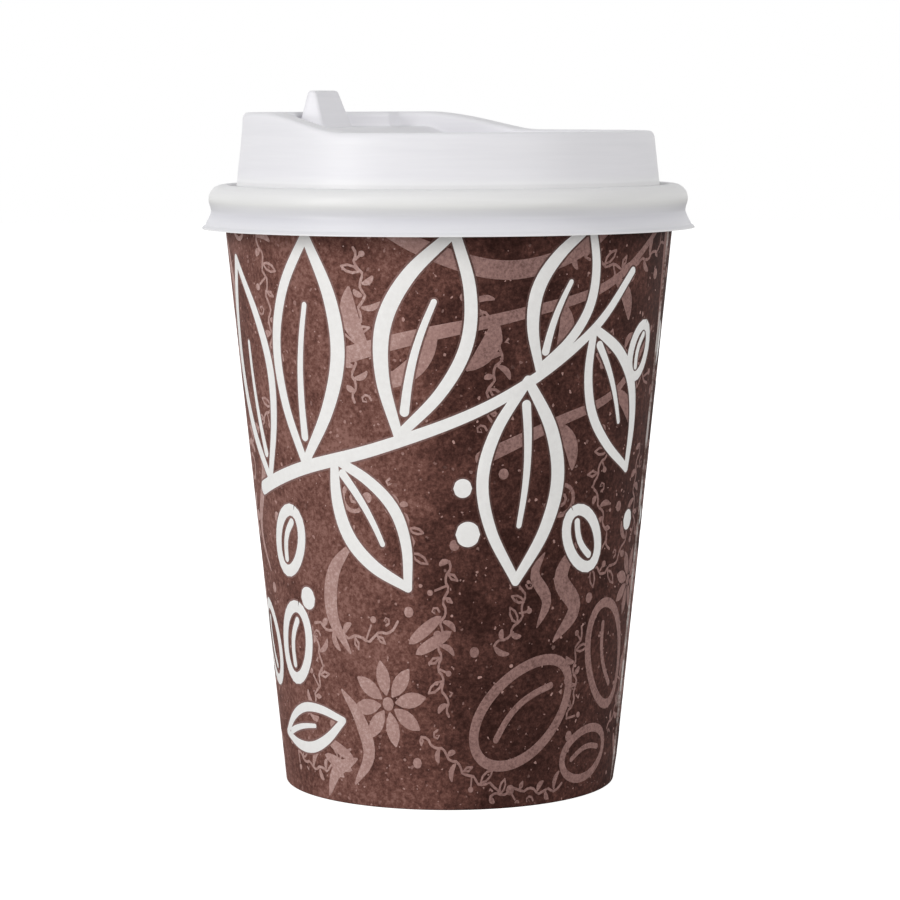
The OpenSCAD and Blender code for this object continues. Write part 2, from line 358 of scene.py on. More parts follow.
# small pale flecks in the ground, each with its own size and strength
cells = nodes.new("ShaderNodeTexVoronoi")
cells.inputs["Scale"].default_value = 660
bent = nodes.new("ShaderNodeVectorMath")
bent.operation = "MULTIPLY_ADD"
wander = nodes.new("ShaderNodeTexNoise")
wander.inputs["Scale"].default_value = 900
links.new(spot, wander.inputs["Vector"])
links.new(wander.outputs["Color"], bent.inputs[0])
bent.inputs[1].default_value = (0.0011, 0.0011, 0.0011)
links.new(spot, bent.inputs[2])
links.new(bent.outputs[0], cells.inputs["Vector"])
pick = nodes.new("ShaderNodeSeparateColor")
links.new(cells.outputs["Color"], pick.inputs[0])
size = nodes.new("ShaderNodeMapRange")
size.inputs["From Min"].default_value = 0.15
size.inputs["From Max"].default_value = 1.0
size.inputs["To Min"].default_value = 0.0
size.inputs["To Max"].default_value = 0.25
links.new(pick.outputs[0], size.inputs["Value"])
inside = nodes.new("ShaderNodeMath")
inside.operation = "LESS_THAN"
links.new(cells.outputs["Distance"], inside.inputs[0])
links.new(size.outputs["Result"], inside.inputs[1])
fade = nodes.new("ShaderNodeMath")
fade.operation = "MULTIPLY"
links.new(inside.outputs[0], fade.inputs[0])
links.new(pick.outputs[1], fade.inputs[1])
flecks = nodes.new("ShaderNodeMix")
flecks.data_type = "RGBA"
flecks.inputs[7].default_value = (0.46, 0.28, 0.25, 1)
links.new(fade.outputs[0], flecks.inputs[0])
links.new(ground, flecks.inputs[6])
# a rubbed spot low at the seam
RUB_Z, RUB_R = 17, 0.0022
rub_turn = math.radians(SEAM_AZ - 1.2)
near = nodes.new("ShaderNodeVectorMath")
near.operation = "DISTANCE"
near.inputs[1].default_value = (wall_r(RUB_Z) * math.cos(rub_turn) * MM,
                                wall_r(RUB_Z) * math.sin(rub_turn) * MM, RUB_Z * MM)
links.new(spot, near.inputs[0])
rub = nodes.new("ShaderNodeMapRange")
rub.inputs["From Min"].default_value = 0.0002
rub.inputs["From Max"].default_value = RUB_R
rub.inputs["To Min"].default_value = 0.9
rub.inputs["To Max"].default_value = 0.0
links.new(near.outputs["Value"], rub.inputs["Value"])
patch = nodes.new("ShaderNodeMath")
patch.operation = "MULTIPLY"
links.new(rub.outputs["Result"], patch.inputs[0])
links.new(shades(nodes, links, fibre, [(0.45, (0, 0, 0)), (0.55, (1, 1, 1))]), patch.inputs[1])
rubbed = nodes.new("ShaderNodeMix")
rubbed.data_type = "RGBA"
rubbed.inputs[7].default_value = (0.60, 0.50, 0.46, 1)
links.new(patch.outputs[0], rubbed.inputs[0])
links.new(flecks.outputs[2], rubbed.inputs[6])
links.new(rubbed.outputs[2], shader.inputs["Base Color"])
relief(nodes, links, shader, fibre, 0.03, 0.6)

# the board's plain side and its cut edges
raw_board, shader, nodes, links, spot = fresh("raw_board", 0.85, 0.2)
fibre = cloud(nodes, links, spot, 2200, 4.0, 0.7)
links.new(shades(nodes, links, fibre, [(0.3, (0.62, 0.60, 0.56)), (0.7, (0.88, 0.86, 0.82))]),
          shader.inputs["Base Color"])
relief(nodes, links, shader, fibre, 0.05, 0.6)
# the seam's cut edge, stained by the ink in places
seam_edge, shader, nodes, links, spot = fresh("seam_edge", 0.85, 0.2)
wear = total(nodes, links, [(cloud(nodes, links, spot, 160, 2.0, 0.5), 1.4),
                            (cloud(nodes, links, spot, 1500, 3.0, 0.6), 0.7)])
links.new(shades(nodes, links, wear, [(0.26, (0.20, 0.12, 0.10)), (0.45, (0.52, 0.42, 0.39)),
                                      (0.65, (0.84, 0.79, 0.76))]), shader.inputs["Base Color"])
# the coated side that holds the drink
coated_board, shader, nodes, links, spot = fresh("coated_board", 0.34, 0.45)
fibre = cloud(nodes, links, spot, 420, 4.0, 0.6)
links.new(shades(nodes, links, fibre, [(0.3, (0.80, 0.79, 0.77)), (0.7, (0.85, 0.84, 0.82))]),
          shader.inputs["Base Color"])
relief(nodes, links, shader, fibre, 0.02, 0.35)
put("cup_wall", bm, [board_print, raw_board, coated_board, seam_edge], "cup",
    stands_for=("sidewall",))

# Print on the wall.
# Three inks laid on the flat blank before it is rolled: bold white coffee leaves and beans
# with a thin halo, and rose sprigs, beans, stars and trailing vines. The drawing is repeated
# along the blank and cut off at the lap seam.
REF_R, REPEAT, COPIES = 38.0, 116.0, 3
SEAM_U = math.radians(SEAM_AZ + 90) * REF_R
PRINT_LOW, PRINT_HIGH = 0.9, 111.2
ROSE_LIFT, HALO_LIFT, WHITE_LIFT, INK_DEPTH = 0.018, 0.03, 0.045, 0.08
HALO_RIM, SPATTER = 0.35, 420


def bend(points, steps):
    """A smooth curve through the points (Catmull-Rom), evenly stepped in each span."""
    pts = [Vector(p) for p in points]
    pts = [pts[0] * 2 - pts[1]] + pts + [pts[-1] * 2 - pts[-2]]
    curve = []
    for a, b, c, d in zip(pts, pts[1:], pts[2:], pts[3:]):
        for i in range(steps):
            t = i / steps
            curve.append(0.5 * ((2 * b) + (c - a) * t + (2 * a - 5 * b + 4 * c - d) * t * t
                                + (3 * b - a - 3 * c + d) * t ** 3))
    return curve + [pts[-2]]


def along(curve, gap):
    """Evenly spaced points of a curve, about gap apart, each with its left-hand side."""
    lengths = [0.0]
    for a, b in zip(curve, curve[1:]):
        lengths.append(lengths[-1] + (b - a).length)
    count = max(2, round(lengths[-1] / gap))
    result, k = [], 0
    for i in range(count + 1):
        want = lengths[-1] * i / count
        while k < len(curve) - 2 and lengths[k + 1] < want:
            k += 1
        step = curve[k + 1] - curve[k]
        part = (want - lengths[k]) / max(1e-9, lengths[k + 1] - lengths[k])
        ahead = step.normalized()
        result.append((curve[k] + step * part, Vector((-ahead.y, ahead.x))))
    return result


def ribbon(bm, curve, width, gap=1.2, caps=(True, True), rim=0.0):
    """A flat band along a curve; width is a number or a function of 0..1, ends rounded."""
    stations = along(curve, gap)
    count = len(stations) - 1
    wide = width if callable(width) else (lambda t: width)
    half = [wide(i / count) / 2 + rim for i in range(count + 1)]
    places = []
    for i, (point, left) in enumerate(stations):
        ahead = Vector((left.y, -left.x))
        if i == 0 and caps[0]:
            for a in (80, 50, 25):
                turn = math.radians(a)
                places.append((point - ahead * half[0] * math.sin(turn), left,
                               half[0] * math.cos(turn)))
        places.append((point, left, half[i]))
        if i == count and caps[1]:
            for a in (25, 50, 80):
                turn = math.radians(a)
                places.append((point + ahead * half[-1] * math.sin(turn), left,
                               half[-1] * math.cos(turn)))
    across = 2 if max(half) > 0.7 else 1
    grid = bmesh.ops.create_grid(bm, x_segments=len(places) - 1, y_segments=across, size=1.0)
    for vert in grid["verts"]:
        point, left, h = places[round((vert.co.x + 1) / 2 * (len(places) - 1))]
        flat = point + left * h * vert.co.y
        vert.co = (flat.x, flat.y, 0)


def blade(peak, ends=0.15):
    """Width of a band that swells to its peak in the middle and is thin at its ends."""
    return lambda t: peak * (ends + (1 - ends) * math.sin(math.pi * t) ** 0.8)


def taper(thick, thin):
    """Width of a band from one end to the other."""
    return lambda t: thick + (thin - thick) * t


def arch(start, end, bulge, steps=8):
    """A curve from start to end that bulges to its left by a part of its length."""
    a, b = Vector(start), Vector(end)
    side = Vector((a.y - b.y, b.x - a.x)) * bulge
    return bend([a, a.lerp(b, 0.25) + side * 0.72, a.lerp(b, 0.5) + side,
                 a.lerp(b, 0.75) + side * 0.72, b], steps)


def leaf(bm, base, tip, bulge, thick, thin, rib=0.0, rim=0.0):
    """Outline of a leaf: one side thick, the other thin, and a midrib of part length."""
    ribbon(bm, arch(base, tip, bulge), lambda t: thin + (thick - thin) * math.sin(math.pi * t),
           rim=rim)
    ribbon(bm, arch(base, tip, -bulge),
           lambda t: thin + (thick - thin) * 0.5 * math.sin(math.pi * t), rim=rim)
    if rib:
        a, b = Vector(base), Vector(tip)
        ribbon(bm, arch(a.lerp(b, 0.12), a.lerp(b, rib), 0.04), taper(thin, thin * 0.6), rim=rim)


def ring(bm, centre, long, short, tilt, width, part=1.0, start=0.0, rim=0.0):
    """A band round an ellipse, or part of the way round."""
    turn = Matrix.Rotation(math.radians(tilt), 2)
    curve = []
    count = 40
    for i in range(count + 1):
        a = math.tau * (start + part * i / count)
        curve.append(Vector(centre) + turn @ Vector((long * math.cos(a), short * math.sin(a))))
    ribbon(bm, curve, width, caps=(part < 1, part < 1), rim=rim)


def bean(bm, centre, long, tilt, width, short=0.62, rim=0.0):
    """Outline of a coffee bean with its crease."""
    ring(bm, centre, long, long * short, tilt, width, rim=rim)
    turn = Matrix.Rotation(math.radians(tilt), 2)
    c = Vector(centre)
    crease = turn @ Vector((long * 0.62, 0))
    ribbon(bm, arch(c - crease, c + crease, 0.13), width * 0.62, rim=rim)


def seed(bm, centre, long, short, tilt, rim=0.0):
    """A filled oval."""
    long, short = long + rim, short + rim
    turn = Matrix.Rotation(math.radians(tilt), 2)
    c = Vector(centre)
    ribbon(bm, [c - turn @ Vector((long, 0)), c, c + turn @ Vector((long, 0))],
           lambda t: 2 * short * math.sqrt(max(0.0, 1 - (2 * t - 1) ** 2)) + 0.02,
           gap=long / 5, caps=(False, False))


def split_bean(bm, centre, long, tilt):
    """A filled bean in two halves with the crease left open between them."""
    turn = Matrix.Rotation(math.radians(tilt), 2)
    c = Vector(centre)
    for side in (-1, 1):
        off = turn @ Vector((0, side * long * 0.33))
        seed(bm, c + off, long * 0.96, long * 0.25, tilt + side * 4)


def star(bm, centre, radius, tilt, petals=8):
    """A star anise: pointed filled petals round a small middle."""
    c = Vector(centre)
    for i in range(petals):
        a = math.radians(tilt + 360 * i / petals)
        out = Vector((math.cos(a), math.sin(a)))
        ribbon(bm, [c + out * radius * 0.2, c + out * radius * 0.6, c + out * radius],
               blade(radius * 0.36, 0.1), gap=radius / 6, caps=(False, False))
    seed(bm, c, radius * 0.15, radius * 0.15, 0)


def coil(bm, centre, radius, turns, tilt, width):
    """A spiral line."""
    curve = []
    for i in range(41):
        a = math.radians(tilt) + math.tau * turns * i / 40
        out = Vector((math.cos(a), math.sin(a)))
        curve.append(Vector(centre) + out * radius * (1 - 0.85 * i / 40))
    ribbon(bm, curve, taper(width, width * 0.6), gap=0.8)


def vine(bm, points, size, line, first=0):
    """A thin trailing stem with small leaves, curls and berries on either side in turn."""
    curve = bend(points, 8)
    spots = along(curve, size * 0.62)
    wave = [point + left * 0.16 * size * math.sin(i * 1.9)
            for i, (point, left) in enumerate(along(curve, size * 0.35))]
    ribbon(bm, wave, line, gap=0.9)
    for i, (point, left) in enumerate(spots[:-1]):
        ahead = Vector((left.y, -left.x))
        side = left if i % 2 else -left
        reach = size * (0.62 + 0.25 * math.sin(i * 2.3 + first))
        tip = point + side * reach + ahead * reach * 0.55
        kind = (i * 5 + first) % 7
        if kind in (0, 3, 5):
            ribbon(bm, arch(point, tip, 0.16 * (1 if i % 2 else -1)), blade(size * 0.3, 0.25),
                   gap=reach / 5, caps=(False, False))
        elif kind in (1, 4):
            leaf(bm, point, tip, 0.2, line, line * 0.7)
        elif kind == 2:
            coil(bm, point + side * reach * 0.7 + ahead * reach * 0.2, reach * 0.34, 1.2,
                 90 * i, line * 0.9)
        else:
            ribbon(bm, [point, point.lerp(tip, 0.7)], line * 0.8, gap=0.7)
            seed(bm, tip, size * 0.16, size * 0.14, 0)


def white_art(bm, p, rim=0.0):
    """Bold white drawing: a coffee twig with long leaves, and beans and dots round it."""
    def at(x, z):
        return (x + p, z)
    # twig over the front, rising to the right
    ribbon(bm, bend([at(-45, 58), at(-30, 63), at(-12, 68), at(8, 76), at(26, 88),
                     at(36, 99)], 10), taper(2.6, 1.5), rim=rim)
    for base, tip, bulge, thick, rib in (
            ((-41, 60), (-47, 101), 0.17, 2.7, 0.62), ((-29, 64), (-25, 106), -0.17, 2.8, 0.7),
            ((-9, 70), (1, 107), 0.19, 2.8, 0.66), ((14, 80), (13, 43), 0.2, 2.8, 0.72),
            ((-22, 65.5), (-8, 42), -0.2, 2.7, 0.66), ((27, 89), (40, 62), 0.2, 2.5, 0.66),
            ((16, 82), (25, 108), 0.2, 2.4, 0.6), ((-46, 11), (-24, 16), -0.17, 2.1, 0.6)):
        leaf(bm, at(*base), at(*tip), bulge, thick, thick * 0.6, rib, rim)
    for x, z, long, tilt, width in ((-36, 49, 6.2, 68, 2.2), (28, 50, 6.0, 120, 2.1),
                                    (41, 84, 5.0, 70, 1.9), (-50, 28, 7.4, 104, 2.0),
                                    (-37, 29.5, 7.2, 74, 2.2)):
        bean(bm, at(x, z), long, tilt, width, rim=rim)
    for x, z, r in ((-31.5, 38.5, 2.1), (3.5, 52, 2.3), (2.5, 60.5, 1.7), (43, 52, 1.9)):
        seed(bm, at(x, z), r, r, 0, rim)


def rose_art(bm, p):
    """Rose drawings: sprigs, stars, beans, steam, coils and trailing vines."""
    def at(x, z):
        return (x + p, z)

    def many(points):
        return [at(x, z) for x, z in points]
    # broad tapering bands of a big sprig behind the twig
    ribbon(bm, bend(many([(-17, 112), (-4, 104), (10, 100), (24, 104), (33, 112)]), 9),
           lambda t: 1.6 + 1.8 * math.sin(math.pi * t))
    ribbon(bm, bend(many([(-20, 84), (-6, 88), (12, 92), (30, 97), (46, 108)]), 9),
           taper(3.0, 1.0))
    ribbon(bm, bend(many([(6, 66), (20, 72), (34, 77), (46, 88)]), 9), taper(2.6, 0.8))
    ribbon(bm, bend(many([(-60, 74), (-53, 83), (-51, 95), (-55, 108)]), 9), blade(2.4, 0.3))
    ribbon(bm, bend(many([(49, 112), (50.5, 92), (53, 72), (52, 55)]), 9), taper(2.1, 1.2))
    for base, tip, w in (((-14, 86), (-17, 97), 3.4), ((-2, 89), (-13, 79), 3.6),
                         ((8, 91.5), (3, 82), 3.4), ((20, 94), (19, 83), 3.2),
                         ((31, 98), (36, 90), 2.8), ((20, 72), (24, 63), 3.0),
                         ((33, 77), (40, 70), 2.8)):
        ribbon(bm, arch(at(*base), at(*tip), 0.14), blade(w, 0.1), caps=(False, False))
    # large open beans low on the right, with two ribbons of steam over them
    for x, z, long, tilt, width in ((16, 18, 12.5, 38, 2.0), (39, 27, 10.5, 112, 1.8),
                                    (34, 8.5, 7.5, 8, 1.6)):
        bean(bm, at(x, z), long, tilt, width)
    ribbon(bm, bend(many([(22, 31), (27, 37), (23, 43), (27, 50)]), 8), blade(3.6, 0.08),
           caps=(False, False))
    ribbon(bm, bend(many([(18, 34), (20, 39), (17, 44), (19, 48)]), 8), blade(2.4, 0.08),
           caps=(False, False))
    # stars and beans
    star(bm, at(-13, 20), 8.2, 10)
    star(bm, at(47, 40), 6.6, 30)
    star(bm, at(-56, 52), 6.0, 0)
    for x, z, r, a in ((-4, 33, 4.4, 35), (-26, 9, 4.2, 160), (51, 24, 4.2, 60),
                       (-56, 36, 4.4, 80), (-58, 14, 4.6, 110), (51, 8, 3.6, 120)):
        split_bean(bm, at(x, z), r, a)
    # long blades at the foot and beside the leaves
    ribbon(bm, bend(many([(-22, 4), (-18, 10), (-20, 17), (-24, 22)]), 8), blade(3.0, 0.1),
           caps=(False, False))
    ribbon(bm, bend(many([(-30, 1), (-27, 6), (-21, 9)]), 8), blade(2.6, 0.1), caps=(False, False))
    ribbon(bm, bend(many([(-19, 50), (-24, 44), (-25, 36), (-21, 29)]), 8), blade(3.2, 0.1),
           caps=(False, False))
    ribbon(bm, bend(many([(-50, 70), (-44, 62), (-50, 50), (-46, 42)]), 8), blade(2.2, 0.15),
           caps=(False, False))
    # coils
    for x, z, r, n, a in ((-52, 62, 4.4, 1.6, 40), (22, 58, 3.6, 1.7, 200),
                          (-18, 58, 3.0, 1.5, 90), (-44, 107, 2.6, 1.4, 180)):
        coil(bm, at(x, z), r, n, a, 0.9)
    # vines trailing between the larger drawings
    for i, points in enumerate((
            [(-38, 108), (-36, 100), (-35.5, 90), (-36.5, 80)],
            [(-38, 74), (-43, 70), (-50, 66.5), (-57, 66)],
            [(-17, 76), (-16.5, 86), (-14.5, 96), (-16, 104)],
            [(-54, 92), (-56, 82), (-59, 74)],
            [(-14, 62), (-9, 57), (-7, 50), (-8, 44)],
            [(3, 96), (9, 87), (7, 78), (8, 70)],
            [(28, 84), (35, 85), (41, 82), (46, 77)],
            [(22, 103), (31, 100), (40, 101), (48, 104)],
            [(33, 66), (30, 60), (33, 54), (36, 47)],
            [(-30, 34), (-24, 33), (-17, 32), (-10, 35)],
            [(0, 47), (-1, 38), (-2, 28), (0, 18)],
            [(-6, 14), (-1, 11), (5, 6), (11, 4)],
            [(-60, 27), (-57, 22), (-54, 15), (-55, 7)],
            [(-41, 8), (-35, 6), (-29, 6.5), (-23, 11)],
            [(9, 31), (13, 34), (15, 39), (13, 45)],
            [(31, 44), (36, 43), (41, 46), (44, 51)],
            [(43, 12), (47, 15), (49, 19), (48, 25)],
            [(9, 2.5), (16, 3.5), (22, 2.5), (27, 3)],
            [(46, 66), (45, 58), (48, 50), (54, 47)],
            [(-34, 16), (-31, 21), (-29, 27), (-31, 33)],
            [(27, 16), (29, 21), (28, 27), (30, 33)])):
        vine(bm, many(points), 3.6 if i % 3 else 4.2, 0.46, i)
    # dots between the vines
    for x, z in ((-36.5, 77), (-15.5, 58.5), (-53, 99), (30, 85.5), (49.5, 76), (31, 70),
                 (-32.5, 35), (-8, 37.5), (-7, 9), (13.5, 3.5), (-54, 4.5), (-44, 10),
                 (31, 38.5), (38.5, 55), (56, 45.5), (-59, 69), (1, 50), (5, 30),
                 (-45, 39), (-40, 53), (10, 63), (28, 12.5), (-27, 15), (45, 98)):
        seed(bm, at(x, z), 0.95, 0.95, 0)
    # fine spatter, spread evenly
    for i in range(SPATTER):
        x = -60 + 112 * ((i * 0.6180339887) % 1)
        z = 2 + 108 * ((i * 0.7548776662) % 1)
        size = 0.1 + 0.14 * ((i * 0.5698402910) % 1)
        ribbon(bm, [Vector(at(x, z)), Vector(at(x + size * math.cos(i), z + size * math.sin(i)))],
               size * 1.3, gap=9, caps=(False, False))


def roll_print(name, draw, lift, material):
    """Draws one ink flat on the blank, trims it at the seam and edges, and rolls it on."""
    bm = bmesh.new()
    for k in range(COPIES):
        draw(bm, -k * REPEAT)
    for co, no in (((SEAM_U, 0, 0), (1, 0, 0)), ((SEAM_U - math.tau * REF_R, 0, 0), (-1, 0, 0)),
                   ((0, PRINT_HIGH, 0), (0, 1, 0)), ((0, PRINT_LOW, 0), (0, -1, 0))):
        bmesh.ops.bisect_plane(bm, geom=bm.verts[:] + bm.edges[:] + bm.faces[:], plane_co=co,
                               plane_no=no, clear_outer=True)
    end, near = math.degrees(SEAM_U / REF_R) - 90, 1e-4
    for vert in bm.verts:
        azimuth = math.degrees(vert.co.x / REF_R) - 90
        z = vert.co.y
        proud = 0.0
        if azimuth < end - near and z < CURL_Z - CURL_R:
            proud = lap(max(azimuth, end - 360 + near), wall_r(z))
        r = wall_r(z) + proud + lift
        turn = math.radians(azimuth)
        vert.co = Vector((r * math.cos(turn), r * math.sin(turn), z)) * MM
    bmesh.ops.solidify(bm, geom=bm.faces[:], thickness=INK_DEPTH * MM)
    return put(name, bm, [material], "cup", sharp=30)


rose_ink, shader, nodes, links, spot = fresh("rose_ink", 0.52, 0.2)
mottle = cloud(nodes, links, spot, 240, 6.0, 0.75)
fibre = cloud(nodes, links, spot, 1700, 4.0, 0.75)
# the rose ink's tone: painted side light and shade, with mottle and fibre
level = total(nodes, links, [(painted_side_shade(nodes, links, spot), PAINTED_SHADE_WEIGHT), (mottle, 0.45), (fibre, 1.0)])
links.new(shades(nodes, links, level, [
    (0.15, (0.155, 0.078, 0.068)), (0.33, (0.275, 0.155, 0.138)), (0.50, (0.36, 0.21, 0.187)),
    (0.67, (0.44, 0.27, 0.24)), (0.85, (0.58, 0.40, 0.37))]), shader.inputs["Base Color"])
relief(nodes, links, shader, fibre, 0.03, 0.5)
halo_ink, shader, nodes, links, spot = fresh("halo_ink", 0.52, 0.2)
fibre = cloud(nodes, links, spot, 1500, 4.0, 0.7)
# the halo's tone: painted side light and shade, with fibre
level = total(nodes, links, [(painted_side_shade(nodes, links, spot), PAINTED_SHADE_WEIGHT), (fibre, 0.9)])
links.new(shades(nodes, links, level, [
    (0.33, (0.09, 0.044, 0.038)), (0.5, (0.15, 0.078, 0.067)), (0.67, (0.24, 0.13, 0.115))]),
    shader.inputs["Base Color"])
white_ink, shader, nodes, links, spot = fresh("white_ink", 0.5, 0.35)
fibre = cloud(nodes, links, spot, 900, 4.0, 0.7)
links.new(shades(nodes, links, fibre, [(0.3, (0.86, 0.85, 0.835)), (0.7, (0.92, 0.915, 0.90))]),
          shader.inputs["Base Color"])
relief(nodes, links, shader, fibre, 0.02, 0.35)
roll_print("print_rose", rose_art, ROSE_LIFT, rose_ink)
roll_print("print_halo", lambda bm, p: white_art(bm, p, HALO_RIM), HALO_LIFT, halo_ink)
roll_print("print_white", white_art, WHITE_LIFT, white_ink)

# Base disc.
# A disc of plain board with its edge turned down, glued between the wall and the hem.
DISC_Z = HEM_H + 1.1
SKIRT_OUT = SKIRT_LOW = BOARD_T + GLUE
SKIRT_IN = SKIRT_OUT + DISC_T
DISC_BEND = 0.4
bm = bmesh.new()
profile = [(0, DISC_Z)]
profile += [(r, DISC_Z) for r in (10.0, 20.0, 28.0)]
profile += arc((wall_r(DISC_Z - DISC_BEND) - SKIRT_OUT - DISC_BEND, DISC_Z - DISC_BEND),
               DISC_BEND, 90, 0, 5)
profile += [(wall_r(SKIRT_LOW) - SKIRT_OUT, SKIRT_LOW), (wall_r(SKIRT_LOW) - SKIRT_IN, SKIRT_LOW)]
profile += [(wall_r(DISC_Z - 2 * DISC_T) - SKIRT_IN, DISC_Z - 2 * DISC_T)]
profile += [(wall_r(DISC_Z) - SKIRT_IN - DISC_T, DISC_Z - DISC_T)]
profile += [(r, DISC_Z - DISC_T) for r in (20.0, 10.0, 0.0)]
chain = [bm.verts.new((r * MM, 0, z * MM)) for r, z in profile]
line = [bm.edges.new(pair) for pair in zip(chain, chain[1:])]
bmesh.ops.spin(bm, geom=chain + line, cent=(0, 0, 0), axis=(0, 0, 1), dvec=(0, 0, 0),
               angle=math.tau, steps=WALL_STEPS // 2, use_merge=True, use_duplicate=False)
bmesh.ops.remove_doubles(bm, verts=bm.verts, dist=1e-7)
bmesh.ops.recalc_face_normals(bm, faces=bm.faces)
plain_board, shader, nodes, links, spot = fresh("plain_board", 0.6, 0.3)
fibre = cloud(nodes, links, spot, 700, 5.0, 0.7)
links.new(shades(nodes, links, fibre, [(0.3, (0.76, 0.745, 0.71)), (0.7, (0.84, 0.83, 0.80))]),
          shader.inputs["Base Color"])
relief(nodes, links, shader, fibre, 0.03, 0.4)
put("base_board", bm, [plain_board], "cup", stands_for=("base_disc",))

# Lid.
# One thin white moulding pressed on the rolled rim: out-turned lip, flared skirt, waist,
# bead over the rim, groove, raised wall, broad rim that climbs to the drinking side,
# drinking shoulder, sunk middle and level deck round the closure flap.
LID_T = 0.4
LID_AZ = 151.0
BEAD_C, BEAD_Z = curl_c - 0.8, CURL_Z - 1.1
BEAD_R = math.hypot(0.8, 1.1) + CURL_R + 0.06 + LID_T
WAIST_R, WAIST_Z = curl_c + CURL_R + 0.15 + LID_T, BEAD_Z - 2.4
SKIRT_Z, LIP_R = WAIST_Z - 3.4, WAIST_R + 1.8
BEAD_TOP = BEAD_Z + BEAD_R
GROOVE_OUT, GROOVE_Z = BEAD_C - 1.0, BEAD_TOP - 1.7
GROOVE_IN = GROOVE_OUT - 1.5
FOOT_Z, FOOT_R = BEAD_TOP + 0.1, GROOVE_IN - 0.15
LOW_Z = BEAD_TOP + 9.95
HIGH_Z = LOW_Z + 3.65
LOW_R, HIGH_R = FOOT_R - 1.1, FOOT_R - 1.3
RIM_IN, SHOULDER_IN, SHOULDER_S = LOW_R - 5.7, LOW_R - 7.9, 24.1
RIM_ROUND, INNER_ROUND, FOOT_ROUND = 1.0, 1.0, 0.5
RISE_FROM, RISE_RUN, DIP_Z, CREST_Z = -3.5, 26.0, LOW_Z - 0.4, HIGH_Z + 0.05
FLOOR_Z, DECK_Z, DECK_FROM, DECK_RUN = LOW_Z - 1.8, HIGH_Z - 3.0, 14.0, 6.0
LID_STEPS = 400
RISE_BLEND = 0.35


def ease(u):
    """A smooth step from 0 to 1."""
    u = min(1.0, max(0.0, u))
    return u * u * (3 - 2 * u)


def soft_max(a, b, blend):
    """The larger of two heights, with a rounded corner where they cross."""
    near = max(blend - abs(a - b), 0.0) / blend
    return max(a, b) + near * near * blend / 4


def rim_top(s):
    """Height of the rim at a distance s from the axis towards the drinking side."""
    climb = DIP_Z + (CREST_Z - DIP_Z) * ease((s - RISE_FROM) / RISE_RUN)
    return -soft_max(-soft_max(climb, LOW_Z, RISE_BLEND), -HIGH_Z, RISE_BLEND / 3)


def deck_top(s):
    """Height of the sunk middle and of the deck that it rises to."""
    return FLOOR_Z + (DECK_Z - FLOOR_Z) * ease((s - DECK_FROM) / DECK_RUN)


def raised_r(z):
    """Outer radius of the raised wall at a height."""
    if z < LOW_Z:
        return FOOT_R + (LOW_R - FOOT_R) * (z - FOOT_Z) / (LOW_Z - FOOT_Z)
    return LOW_R + (HIGH_R - LOW_R) * (z - LOW_Z) / (HIGH_Z - LOW_Z)


def inner_r(turn):
    """Inner radius of the rim, which is less round the drinking shoulder."""
    c = math.cos(turn)
    end = SHOULDER_S / c if c > 0.3 else 99.0
    return min(RIM_IN, max(SHOULDER_IN, end))


# Rows of the lid's section: the first ones stay as they are, the others depend on the turn
rows = [("fixed", p) for p in
        [(LIP_R, SKIRT_Z + 0.25), (LIP_R - 0.02, SKIRT_Z + 0.45)]
        + arc((LIP_R - 0.1, SKIRT_Z + 1.45), 0.72, -105, -170, 4)
        + [(WAIST_R + 0.52, WAIST_Z - 1.3), (WAIST_R + 0.12, WAIST_Z - 0.35), (WAIST_R, WAIST_Z)]
        + [(WAIST_R + 0.03, WAIST_Z + 0.45), (WAIST_R + 0.13, WAIST_Z + 0.95)]
        + arc((BEAD_C, BEAD_Z), BEAD_R, -20, 88, 13)
        + arc((GROOVE_OUT + 0.5, BEAD_TOP - 0.5), 0.5, 90, 178, 5)
        + arc((GROOVE_OUT - 0.35, GROOVE_Z + 0.35), 0.35, 0, -90, 3)
        + arc((GROOVE_IN + 0.35, GROOVE_Z + 0.35), 0.35, -90, -178, 3)
        + [(FOOT_R, FOOT_Z)]]
rows += [("wall", i / 7) for i in range(1, 8)]
rows += [("outer_round", 90 * i / 6) for i in range(1, 7)]
rows += [("top", i / 4) for i in range(1, 4)]
rows += [("inner_round", 90 * i / 6) for i in range(0, 7)]
rows += [("inner", i / 4) for i in range(1, 5)]
rows += [("foot_round", 90 * i / 4) for i in range(1, 5)]
rows += [("deck", 1 - i / 34) for i in range(1, 35)]


def lid_point(kind, value, turn):
    """Distance from the axis and height of a point of the lid's upper face."""
    if kind == "fixed":
        return value
    if kind in ("wall", "outer_round", "top", "inner_round"):
        r_in = inner_r(turn)
        top = rim_top(LOW_R * math.cos(turn))
        for _ in range(3):
            r_out = raised_r(top)
            if kind == "wall":
                z = FOOT_Z + (top - RIM_ROUND - FOOT_Z) * value
                return raised_r(z), z
            if kind == "outer_round":
                a = math.radians(value)
                r = r_out - RIM_ROUND * (1 - math.cos(a))
                lift = -RIM_ROUND * (1 - math.sin(a))
            elif kind == "top":
                r = (r_out - RIM_ROUND) * (1 - value) + (r_in + INNER_ROUND) * value
                lift = 0.0
            else:
                a = math.radians(value)
                r = r_in + INNER_ROUND * (1 - math.sin(a))
                lift = -INNER_ROUND * (1 - math.cos(a))
            top = rim_top(r * math.cos(turn))
        return r, top + lift
    r_in = inner_r(turn)
    if kind == "inner":
        upper = rim_top(r_in * math.cos(turn)) - INNER_ROUND
        lower = deck_top(r_in * math.cos(turn)) + FOOT_ROUND
        return r_in, upper + (lower - upper) * value
    if kind == "foot_round":
        a = math.radians(value)
        r = r_in - FOOT_ROUND * (1 - math.cos(a))
        return r, deck_top(r * math.cos(turn)) + FOOT_ROUND * (1 - math.sin(a))
    r = (r_in - FOOT_ROUND) * value
    return r, deck_top(r * math.cos(turn))


